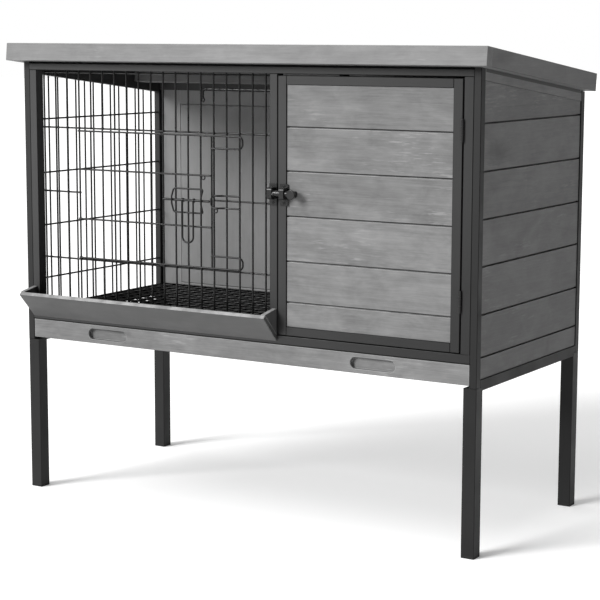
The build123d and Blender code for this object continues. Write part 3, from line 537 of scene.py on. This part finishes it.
ease_all([
    (frame_paint["x"], "front_bottom_rail rear_top_rail rear_bottom_rail"),
    (frame_paint["y"], "left_top_rail side_bottom_rails"),
], width=0.0007)
ease_all([
    (post_paint, "front_left_post front_right_post rear_left_post rear_right_post"),
    (frame_paint["z"], "front_left_stile centre_stile front_right_stile door_stiles"),
], width=0.0008, dark_arris=True)
ease_all([(frame_paint["x"], "door_rails")], width=0.0007, dark_arris=True)
ease_all([(frame_paint["x"], "front_top_rail")], width=0.0007, stepped=True)
ease_all([(boards["y"], "right_top_rail")], width=0.0007, under_roof=True)
ease_all([
    (boards["x"], "door_boards"),
    (boards["y"], "right_wall_boards"),
], width=0.0006, boarded=True)
ease_all([
    (trough_wood["x"], "trough_front_board"),
    (trough_wood["z"], "trough_ends"),
], width=0.0006, pale_rim=True)
ease_all([
    (boards["x"], "drawer_front"),
    (fascia_wood["x"], "roof_front_fascia roof_rear_fascia"),
    (fascia_wood["y"], "roof_side_fascias"),
    (inner["x"], "roof_battens"),
    (inner["y"], "floor_bearers drawer_walls nest_floor"),
    (inner["z"], "partition"),
    (sheet_wood, "back_wall_frame back_wall_panel roof_panel"),
], width=0.0007)

recoat(leg_coat, "front_left_leg front_right_leg rear_left_leg rear_right_leg")
recoat(plug_plastic, "foot_plugs")
recoat(wire_coat, "wire_floor mesh_panel_top mesh_panel_bottom mesh_panel_sides left_mesh_panel prop_rod")
recoat(wire_coat, "wire_door_grille wire_latch_keeper wire_bolt_guide wire_bolt_rod wire_bolt_handle")
recoat(hardware, "roof_hinge_frame_leaves roof_hinge_leaves door_hinge_frame_leaves door_hinge_leaves")
recoat(hardware, "bolt_keeper bolt_guide door_bolt drawer_runners prop_brackets")
recoat(felt, "roof_felt")
recoat(tray_plastic, "drawer_base")


# ---- screws and nails ---------------------------------------------------------------------
RING_COUNT = 20                       # corners round a head
SUNK = -0.2                           # where a head's underside lies, as a share of its rise
FAR = 0.1                             # metres from a node's box to where the lines that place its heads start
FIRST_SPIN = 0.7                      # radians that the first head is turned,
NEXT_SPIN = 1.9                       # and that each one is turned on from the one before

PLATE_SCREW = {"radius": 0.0026, "rise": 0.0009}
PLATE_SCREW_END = 0.0045              # from the plate's end to the screw
HINGE_SCREW = {"radius": 0.0029, "rise": 0.001}
HINGE_LEAF = 0.05                     # the leaf's length
HINGE_SCREW_X = (-0.017, 0.0, 0.017)  # from the leaf's middle
SHEET_PIN = {"radius": 0.0024, "rise": 0.0007}
SHEET_PIN_PITCH = 0.1
FELT_NAIL = {"radius": 0.004, "rise": 0.0008}
FELT_NAIL_PITCH = 0.09
NAIL_MARGIN = 0.012                   # from a sheet's edge to its nails


def ring(bm, radius, height):
    """Vertices round a circle about the Z axis."""
    angles = [2 * math.pi * i / RING_COUNT for i in range(RING_COUNT)]
    return [bm.verts.new((radius * math.cos(a), radius * math.sin(a), height)) for a in angles]


def cross_outline(bm, reach, half, height):
    """The twelve corners of a plus sign."""
    corner = [(reach, -half), (reach, half), (half, half)]
    points = []
    for c, k in ((1, 0), (0, 1), (-1, 0), (0, -1)):
        points += [(x * c - y * k, x * k + y * c) for x, y in corner]
    return [bm.verts.new((x, y, height)) for x, y in points]


def bridge(bm, low, high):
    for i in range(len(low)):
        j = (i + 1) % len(low)
        bm.faces.new((low[i], low[j], high[j], high[i]))


def closed_loop(verts):
    """The edges that join each vertex of a ring to the next."""
    following = verts[1:] + verts[:1]
    return [next(e for e in v.link_edges if e.other_vert(v) == w) for v, w in zip(verts, following)]


def screw_head(bm, radius, rise):
    """A low pan head with a cross recess, standing on Z = 0."""
    sunk = ring(bm, radius, rise * SUNK)
    rim = ring(bm, radius, rise * 0.45)
    top = ring(bm, radius * 0.8, rise)
    bridge(bm, sunk, rim)
    bridge(bm, rim, top)
    mouth = cross_outline(bm, radius * 0.55, radius * 0.14, rise)
    base = cross_outline(bm, radius * 0.45, radius * 0.1, rise * 0.2)
    bridge(bm, base, mouth)
    bm.faces.new(base)
    bm.faces.new(list(reversed(sunk)))
    around = closed_loop(top) + closed_loop(mouth)
    bmesh.ops.triangle_fill(bm, use_beauty=True, edges=around, normal=(0, 0, 1))


def nail_head(bm, radius, rise):
    """A clout nail's broad flat head, a little hollow in the middle."""
    sunk = ring(bm, radius, rise * SUNK)
    rim = ring(bm, radius, rise * 0.5)
    lip = ring(bm, radius * 0.85, rise)
    dish = ring(bm, radius * 0.4, rise * 0.75)
    for low, high in ((sunk, rim), (rim, lip), (lip, dish)):
        bridge(bm, low, high)
    bm.faces.new(dish)
    bm.faces.new(list(reversed(sunk)))


def driven_in(name, node, body, material, head, size, starts, towards):
    """Heads set on a node where lines from the given starts first meet it, all in one piece."""
    bm = bmesh.new()
    bm.from_mesh(nodes[node].data)
    surface = BVHTree.FromBMesh(bm)
    bm.clear()
    for i, start in enumerate(starts):
        spot, normal, _, _ = surface.ray_cast(start, Vector(towards))
        if spot is None:
            raise RuntimeError(f"{name} {i} doesn't meet {node}")
        one = bmesh.new()
        head(one, **size)
        spin = Matrix.Rotation(FIRST_SPIN + NEXT_SPIN * i, 4, "Z")
        one.transform(Matrix.Translation(spot) @ normal.to_track_quat("Z", "Y").to_matrix().to_4x4() @ spin)
        part = bpy.data.meshes.new("part")
        one.to_mesh(part)
        one.free()
        bm.from_mesh(part)
        bpy.data.meshes.remove(part)
    bmesh.ops.recalc_face_normals(bm, faces=bm.faces)
    return settle(new_piece(name, bm, material), body, "dark_hardware")


def plate_screws(node, body):
    """Two screws in a bolt's plate, above and below the staple."""
    low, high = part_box(node)
    middle = (low[0] + high[0]) / 2
    levels = (low[2] + PLATE_SCREW_END, high[2] - PLATE_SCREW_END)
    starts = [Vector((middle, low[1] - FAR, z)) for z in levels]
    driven_in(f"{node}_screws", node, body, hardware, screw_head, PLATE_SCREW, starts, (0, 1, 0))


def roof_hinge_screws(node, body, height):
    """Three screws in each roof hinge's leaf, at a height above the leaf's lower edge."""
    low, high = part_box(node)
    middles = (low[0] + HINGE_LEAF / 2, high[0] - HINGE_LEAF / 2)
    starts = [Vector((m + d, high[1] + FAR, low[2] + height)) for m in middles for d in HINGE_SCREW_X]
    driven_in(f"{node}_screws", node, body, screw_steel, screw_head, HINGE_SCREW, starts, (0, -1, 0))


def round_the_edge(low, high, pitch):
    """Evenly spaced places round a rectangle, a margin in from its sides."""
    x0, y0 = (c + NAIL_MARGIN for c in low[:2])
    x1, y1 = (c - NAIL_MARGIN for c in high[:2])
    across, along = round((x1 - x0) / pitch), round((y1 - y0) / pitch)
    spots = [(x0 + (x1 - x0) * i / across, y) for i in range(across + 1) for y in (y0, y1)]
    return spots + [(x, y0 + (y1 - y0) * i / along) for i in range(1, along) for x in (x0, x1)]


def sheet_pins():
    """Pins that hold the thin sheet at the back to the frame."""
    low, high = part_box("back_wall_panel")
    spots = round_the_edge((low[0], low[2]), (high[0], high[2]), SHEET_PIN_PITCH)
    starts = [Vector((x, high[1] + FAR, z)) for x, z in spots]
    driven_in("sheet_pins", "back_wall_panel", "frame", screw_steel, nail_head, SHEET_PIN, starts, (0, -1, 0))


def felt_nails():
    """Clout nails round the edge of the felt."""
    low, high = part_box("roof_felt")
    starts = [Vector((x, y, high[2] + FAR)) for x, y in round_the_edge(low, high, FELT_NAIL_PITCH)]
    driven_in("felt_nails", "roof_felt", "roof", screw_steel, nail_head, FELT_NAIL, starts, (0, 0, -1))


plate_screws("bolt_keeper", "frame")
plate_screws("bolt_guide", "solid_door")
roof_hinge_screws("roof_hinge_frame_leaves", "frame", height=0.0045)
roof_hinge_screws("roof_hinge_leaves", "roof", height=0.015)
felt_nails()
sheet_pins()


# ---- light, floor and camera --------------------------------------------------------------
SKY_LIGHT = 0.055                     # what the white surroundings add to the two suns
FLOOR_GLOW = 0.2                      # light from the floor itself, which weakens the object's shadow
FLOOR_RADIUS = 30.0
FLOOR_DROP = 0.0002                   # the floor lies just under the feet

LENS = 108.08                         # millimetres, on a sensor 36 mm wide
CAMERA_PLACE = (1.5823, -2.5631, 0.7845)
CAMERA_TURN = 31.4779                 # degrees to the left of +Y
CAMERA_DIP = 8.3738                   # degrees below level
CAMERA_ROLL = 0.1545                  # degrees anticlockwise, seen from behind the camera


def sun(name, towards, strength, softness):
    """White light in one direction. softness is how wide the sun is, in degrees."""
    data = bpy.data.lights.new(name, "SUN")
    data.energy = strength
    data.angle = math.radians(softness)
    light = bpy.data.objects.new(name, data)
    light.rotation_mode = "QUATERNION"
    light.rotation_quaternion = Vector(towards).to_track_quat("-Z", "Y")
    bpy.context.scene.collection.objects.link(light)


def studio_world():
    """Plain white for the camera, and a weak white light for everything else."""
    world = bpy.data.worlds.new("studio")
    bpy.context.scene.world = world
    world.use_nodes = True
    tree = world.node_tree
    lighting = tree.nodes["Background"]
    lighting.inputs["Color"].default_value = WHITE
    lighting.inputs["Strength"].default_value = SKY_LIGHT
    seen = tree.nodes.new("ShaderNodeBackground")
    seen.inputs["Color"].default_value = WHITE
    seen.inputs["Strength"].default_value = 1.0
    path = tree.nodes.new("ShaderNodeLightPath")
    choose = tree.nodes.new("ShaderNodeMixShader")
    tree.links.new(path.outputs["Is Camera Ray"], choose.inputs[0])
    tree.links.new(lighting.outputs[0], choose.inputs[1])
    tree.links.new(seen.outputs[0], choose.inputs[2])
    tree.links.new(choose.outputs[0], tree.nodes["World Output"].inputs["Surface"])


def studio_floor():
    """A pale round floor with a faint mottle."""
    s = Shader("pale_floor")
    s.put(s.surface.inputs["Base Color"], s.mix(s.noise(s.place(), 1.2, 3.0), grey(0.93), grey(0.96)))
    s.surface.inputs["Roughness"].default_value = 0.9
    s.surface.inputs["Emission Color"].default_value = WHITE
    s.surface.inputs["Emission Strength"].default_value = FLOOR_GLOW
    bm = bmesh.new()
    bmesh.ops.create_circle(bm, cap_ends=True, segments=96, radius=FLOOR_RADIUS)
    floor = new_piece("studio_floor", bm, s.material)
    floor.location.z = -FLOOR_DROP


def set_up_camera():
    lens = bpy.data.cameras.new("camera")
    lens.sensor_width = 36.0
    lens.lens = LENS
    camera = bpy.data.objects.new("camera", lens)
    turn = Matrix.Rotation(math.radians(CAMERA_TURN), 4, "Z")
    dip = Matrix.Rotation(math.radians(90 - CAMERA_DIP), 4, "X")
    roll = Matrix.Rotation(math.radians(CAMERA_ROLL), 4, "Z")
    camera.matrix_world = Matrix.Translation(CAMERA_PLACE) @ turn @ dip @ roll
    bpy.context.scene.collection.objects.link(camera)
    bpy.context.scene.camera = camera


sun("key", (0.42, 0.82, -0.42), strength=4.3, softness=26)
sun("top", (0.35, 0.25, -1.0), strength=1.9, softness=60)
studio_world()
studio_floor()
bpy.context.scene.view_settings.view_transform = "Standard"
bpy.context.scene.view_settings.look = "None"
set_up_camera()
